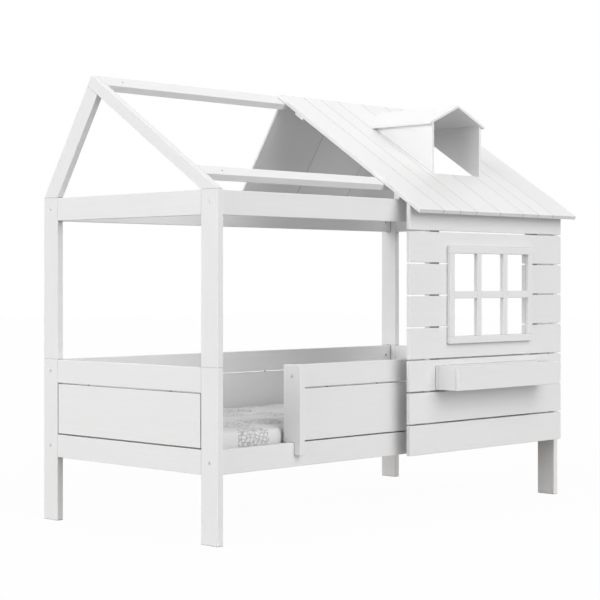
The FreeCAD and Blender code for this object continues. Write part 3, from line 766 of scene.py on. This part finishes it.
class BED_OT_dowels(bpy.types.Operator):
    """Replace the plain dowels with fluted ones in the same holes"""
    bl_idname = "bed.dowels"
    bl_label = "Fluted dowels"

    def execute(self, context):
        wood = context.scene.bed_bare_wood
        rods = [long_axis(points) for points in loose_parts("dowel_pins")]
        mesh = bpy.data.meshes.new("fluted_dowels")
        mesh.from_pydata([middle for middle, _, _, _ in rods], [], [])
        mesh.attributes.new("direction", "FLOAT_VECTOR", "POINT")
        mesh.attributes.new("length", "FLOAT", "POINT")
        for index, (_, direction, length, _) in enumerate(rods):
            mesh.attributes["direction"].data[index].vector = direction
            mesh.attributes["length"].data[index].value = length
        obj = mesh_object("fluted_dowels", mesh)
        beech = bare_wood("beech", ALONG_Z, wood.beech, shade(wood.beech, 0.8), wood.ring_width)
        _, _, _, radius = rods[0]
        obj = fluted_dowel_tree().run(obj, Radius=radius, Material=beech)
        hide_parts("dowel_pins")
        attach(obj, BODY)
        return {"FINISHED"}


# Mattress

# The waves of a quilted line: how fast each turns along the bed, in radians to a metre, how far it
# is shifted from one line to the next, and its share.
QUILT_WAVES = ((7.0, 1.7, 1.0), (17.0, 1.0, 0.5))

# The cover's wrinkles: how many lie along, across and up in a metre, and their share. The cover
# sinks by this share of their depth before they rise and fall.
WRINKLES = (((4.0, 13.0, 16.0), 1.0), ((11.0, 27.0, 30.0), 0.5))
WRINKLE_SINK = 0.6

# A quilted line is drawn in this many steps, this far over the mattress, before it is dropped.
LINE_STEPS = 160
ABOVE_PAD = 0.03


def box_object(name, low, high):
    """A plain box between two corners."""
    work = bmesh.new()
    bmesh.ops.create_cube(work, size=1.0)
    for vert in work.verts:
        vert.co = Vector(
            low[axis] + (vert.co[axis] + 0.5) * (high[axis] - low[axis]) for axis in range(3))
    mesh = bpy.data.meshes.new(name)
    work.to_mesh(mesh)
    work.free()
    return mesh_object(name, mesh)


def rough_pad(low, high, notch, settings):
    """The mattress a little too small, with a gap for the guard post, as even square cells."""
    smaller = Vector((settings.inset,) * 3)
    pad = box_object("mattress_pad", low + smaller, high - smaller)
    gap = box_object("guard_post_gap", notch[0] - smaller / 2, notch[1] + smaller / 2)
    cut = pad.modifiers.new("gap", "BOOLEAN")
    cut.object = gap
    cut.operation = "DIFFERENCE"
    cells = pad.modifiers.new("cells", "REMESH")
    cells.mode = "VOXEL"
    cells.voxel_size = settings.voxel
    soft = pad.modifiers.new("soft", "SMOOTH")
    soft.iterations = 5
    pad = settle(pad)
    bpy.data.objects.remove(gap)
    return pad


def inflate(pad, settings):
    """Swell the pad with a cloth simulation under pressure, and cap how far each point moves."""
    scene = bpy.context.scene
    before = [vert.co.copy() for vert in pad.data.vertices]
    cloth = pad.modifiers.new("cloth", "CLOTH")
    cloth.settings.use_pressure = True
    cloth.settings.uniform_pressure_force = settings.pressure
    cloth.settings.effector_weights.gravity = 0
    cloth.point_cache.frame_start = 1
    cloth.point_cache.frame_end = settings.frames
    for number in range(1, settings.frames + 1):
        scene.frame_set(number)
    evaluated = pad.evaluated_get(bpy.context.evaluated_depsgraph_get())
    moved = [vert.co.copy() for vert in evaluated.data.vertices]
    pad.modifiers.clear()
    scene.frame_set(1)
    for vert, start, end in zip(pad.data.vertices, before, moved):
        step = end - start
        if step.length > settings.swell:
            step *= settings.swell / step.length
        vert.co = start + step
    return pad


def quilt_line(number, x, low, settings):
    """Where a quilted line runs across the bed, at one place along it."""
    wave = sum(share * math.sin(rate * x + shift * number) for rate, shift, share in QUILT_WAVES)
    return low.y + number * settings.quilt_pitch + settings.quilt_swing * wave


def wrinkle_at(point):
    """How far the cover rises at a point, as a share of the wrinkles' depth."""
    rise = 0.0
    for often, share in WRINKLES:
        rise += share * noise.noise(Vector(rate * place for rate, place in zip(often, point)))
    return rise


def press_quilting(pad, low, settings):
    """Press the quilted lines into the pad's top, and ruffle it with soft wrinkles."""
    lines = range(1, int(pad.dimensions.y / settings.quilt_pitch) + 1)
    reach = settings.quilt_reach * settings.quilt_pitch
    normals = [vert.normal.copy() for vert in pad.data.vertices]
    for vert, normal in zip(pad.data.vertices, normals):
        point = vert.co.copy()
        away = min(abs(point.y - quilt_line(number, point.x, low, settings)) for number in lines)
        fall = max(0.0, 1 - away / reach)
        press = settings.quilt_depth * fall * fall * max(0.0, normal.z)
        sink = settings.wrinkle_depth * (WRINKLE_SINK + wrinkle_at(point))
        vert.co = point - normal * (press + sink)
    return lines


def keep_in_room(pad, low, high, notch):
    """Hold every point inside the mattress's room, and out of the guard post's."""
    for vert in pad.data.vertices:
        for axis in range(3):
            vert.co[axis] = min(max(vert.co[axis], low[axis]), high[axis])
        x, y, _ = vert.co
        if notch[0].x < x < notch[1].x and y < notch[1].y:
            ways = (
                (x - notch[0].x, 0, notch[0].x),
                (notch[1].x - x, 0, notch[1].x),
                (notch[1].y - y, 1, notch[1].y),
            )
            _, axis, place = min(ways)
            vert.co[axis] = place
    pad.data.update()


def stitch_tree(pad, settings):
    """Stitches along lines over the pad, each dropped onto its surface."""
    nodes = Nodes(
        "stitches",
        Pitch=("NodeSocketFloat", settings.stitch_pitch),
        Length=("NodeSocketFloat", settings.stitch_length),
        Radius=("NodeSocketFloat", settings.stitch_radius),
        Material=("NodeSocketMaterial", None),
    )
    given = nodes.given
    path = nodes.add("GeometryNodeMeshToCurve", {"Mesh": given["Geometry"]})
    spaced = nodes.add("GeometryNodeCurveToPoints", {
        "Curve": path.outputs["Curve"], "Length": given["Pitch"]}, mode="LENGTH")
    surface = nodes.add("GeometryNodeObjectInfo", {"Object": pad}, transform_space="ORIGINAL")
    drop = nodes.add("GeometryNodeRaycast", {
        "Target Geometry": surface.outputs["Geometry"], "Ray Direction": (0, 0, -1),
        "Ray Length": 1.0})
    dropped = nodes.add("GeometryNodeSetPosition", {
        "Geometry": spaced.outputs["Points"], "Position": drop.outputs["Hit Position"]})
    thread = nodes.add("GeometryNodeMeshUVSphere", {"Segments": 6, "Rings": 4, "Radius": 1.0})
    half_length = nodes.maths("MULTIPLY", given["Length"], 0.5)
    placed = nodes.add("GeometryNodeInstanceOnPoints", {
        "Points": dropped.outputs["Geometry"], "Instance": thread.outputs["Mesh"],
        "Rotation": spaced.outputs["Rotation"],
        "Scale": nodes.vector(given["Radius"], given["Radius"], half_length)})
    nodes.finish(placed.outputs["Instances"])
    return nodes


def sew(pad, lines, low, high, settings):
    """Thread along every quilted line, drawn over the pad first and then dropped onto it."""
    start = low.x + settings.seam_margin
    reach = high.x - low.x - 2 * settings.seam_margin
    points = []
    edges = []
    for number in lines:
        for step in range(LINE_STEPS + 1):
            x = start + reach * step / LINE_STEPS
            if step:
                edges.append((len(points) - 1, len(points)))
            points.append((x, quilt_line(number, x, low, settings), high.z + ABOVE_PAD))
    mesh = bpy.data.meshes.new("quilting_stitches")
    mesh.from_pydata(points, edges, [])
    stitches = mesh_object("quilting_stitches", mesh)
    tree = stitch_tree(pad, settings)
    return tree.run(stitches, Material=sewing_thread("sewing_thread"))


def post_gap(low, high, room):
    """The box that the cover leaves free for the guard post, past the mattress's front and faces."""
    post_low, post_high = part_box("guard_post")
    past = 0.1
    return (
        Vector((post_low.x - room, low.y - past, low.z - past)),
        Vector((post_high.x + room, post_high.y + room, high.z + past)),
    )


class BED_OT_mattress(bpy.types.Operator):
    """Make the mattress as a swollen, quilted pad in a printed cover"""
    bl_idname = "bed.mattress"
    bl_label = "Mattress"

    def execute(self, context):
        settings = context.scene.bed_mattress
        low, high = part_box("mattress")
        notch = post_gap(low, high, settings.post_room)
        pad = rough_pad(low, high, notch, settings)
        pad = inflate(pad, settings)
        finer = pad.modifiers.new("finer", "SUBSURF")
        finer.levels = 1
        finer.render_levels = 1
        pad = settle(pad)
        lines = press_quilting(pad, low, settings)
        keep_in_room(pad, low, high, notch)
        pad.data.polygons.foreach_set("use_smooth", [True] * len(pad.data.polygons))
        give(pad, knitted_cover("knitted_cover"))
        stitches = sew(pad, lines, low, high, settings)
        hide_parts("mattress")
        for piece in (pad, stitches):
            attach(piece, BODY)
        return {"FINISHED"}


# Studio

LAMPS = ("left_lamp", "front_lamp", "back_lamp")
WHITE = (1, 1, 1, 1)
SENSOR_WIDTH = 36.0


class BED_OT_studio(bpy.types.Operator):
    """Lay the floor, set the lights and place the camera"""
    bl_idname = "bed.studio"
    bl_label = "Studio"

    def execute(self, context):
        settings = context.scene.bed_studio
        lay_floor(settings)
        light_sky(settings)
        for name in LAMPS:
            hang_lamp(name, settings)
        place_camera(settings)
        context.scene.view_settings.view_transform = "Standard"
        return {"FINISHED"}


def lay_floor(settings):
    """A wide plain floor that stays near white and keeps a soft shadow."""
    half = settings.floor_size / 2
    corners = [(-half, -half, 0), (half, -half, 0), (half, half, 0), (-half, half, 0)]
    mesh = bpy.data.meshes.new("floor")
    mesh.from_pydata(corners, [], [(0, 1, 2, 3)])
    floor = mesh_object("floor", mesh)
    shader = Shader("pale_floor")
    shader.dress(Base_Color=(*settings.floor_colour, 1), Roughness=0.9, Specular_IOR_Level=0.0)
    glow = shader.add("ShaderNodeEmission", {"Strength": settings.floor_glow})
    blend = shader.add("ShaderNodeMixShader", {
        "Fac": shader.maths("MULTIPLY", shader.seen(), 1 - settings.floor_shadow),
        1: shader.surface.outputs["BSDF"], 2: glow.outputs["Emission"]})
    shader.wire(shader.tree.nodes["Material Output"], {"Surface": blend.outputs["Shader"]})
    give(floor, shader.material)


def light_sky(settings):
    """Even white light from all round, and a white background for the camera."""
    world = bpy.data.worlds.new("studio")
    bpy.context.scene.world = world
    world.use_nodes = True
    tree = Tree(world.node_tree)
    sky = tree.tree.nodes["Background"]
    tree.wire(sky, {"Color": WHITE, "Strength": settings.sky_strength})
    backdrop = tree.add("ShaderNodeBackground", {"Color": WHITE})
    blend = tree.add("ShaderNodeMixShader", {
        "Fac": tree.seen(), 1: sky.outputs["Background"], 2: backdrop.outputs["Background"]})
    tree.wire(tree.tree.nodes["World Output"], {"Surface": blend.outputs["Shader"]})


def hang_lamp(name, settings):
    """One wide soft lamp that shines at the bed, from its heading and its height."""
    heading = getattr(settings, f"{name}_heading")
    height = getattr(settings, f"{name}_height")
    lamp = bpy.data.lights.new(name, "SUN")
    lamp.energy = getattr(settings, name)
    lamp.angle = settings.lamp_spread
    obj = bpy.data.objects.new(name, lamp)
    flat = Vector((math.cos(heading), math.sin(heading), 0)) * math.cos(height)
    from_bed = flat + Vector((0, 0, math.sin(height)))
    obj.rotation_euler = (-from_bed).to_track_quat("-Z", "Y").to_euler()
    bpy.context.scene.collection.objects.link(obj)


def place_camera(settings):
    """The camera at the reference view's place, level, with its picture shifted down."""
    data = bpy.data.cameras.new("camera")
    data.sensor_width = SENSOR_WIDTH
    data.lens = settings.camera_lens
    data.shift_y = settings.camera_drop
    data.clip_end = 200.0
    camera = bpy.data.objects.new("camera", data)
    camera.location = settings.camera_place
    camera.rotation_euler = (QUARTER_TURN, 0, settings.camera_turn)
    bpy.context.scene.collection.objects.link(camera)
    bpy.context.scene.camera = camera


# Add-on

OPERATORS = (
    BED_OT_lacquered_boards,
    BED_OT_roof_boards,
    BED_OT_bed_base,
    BED_OT_bolts_and_screws,
    BED_OT_dowels,
    BED_OT_mattress,
    BED_OT_studio,
)


class BED_PT_panel(bpy.types.Panel):
    """Buttons and settings for the bed"""
    bl_idname = "BED_PT_panel"
    bl_label = "House frame bed"
    bl_space_type = "VIEW_3D"
    bl_region_type = "UI"
    bl_category = "House bed"

    def draw(self, context):
        for operator in OPERATORS:
            self.layout.operator(operator.bl_idname)
        for name, group in SETTINGS:
            box = self.layout.box()
            for setting in group.__annotations__:
                box.prop(getattr(context.scene, name), setting)


def register():
    for name, group in SETTINGS:
        bpy.utils.register_class(group)
        setattr(bpy.types.Scene, name, bpy.props.PointerProperty(type=group))
    for operator in OPERATORS:
        bpy.utils.register_class(operator)
    bpy.utils.register_class(BED_PT_panel)


def unregister():
    bpy.utils.unregister_class(BED_PT_panel)
    for operator in reversed(OPERATORS):
        bpy.utils.unregister_class(operator)
    for name, group in reversed(SETTINGS):
        delattr(bpy.types.Scene, name)
        bpy.utils.unregister_class(group)


def main():
    register()
    for operator in OPERATORS:
        group, name = operator.bl_idname.split(".")
        getattr(getattr(bpy.ops, group), name)()


if __name__ == "__main__":
    main()
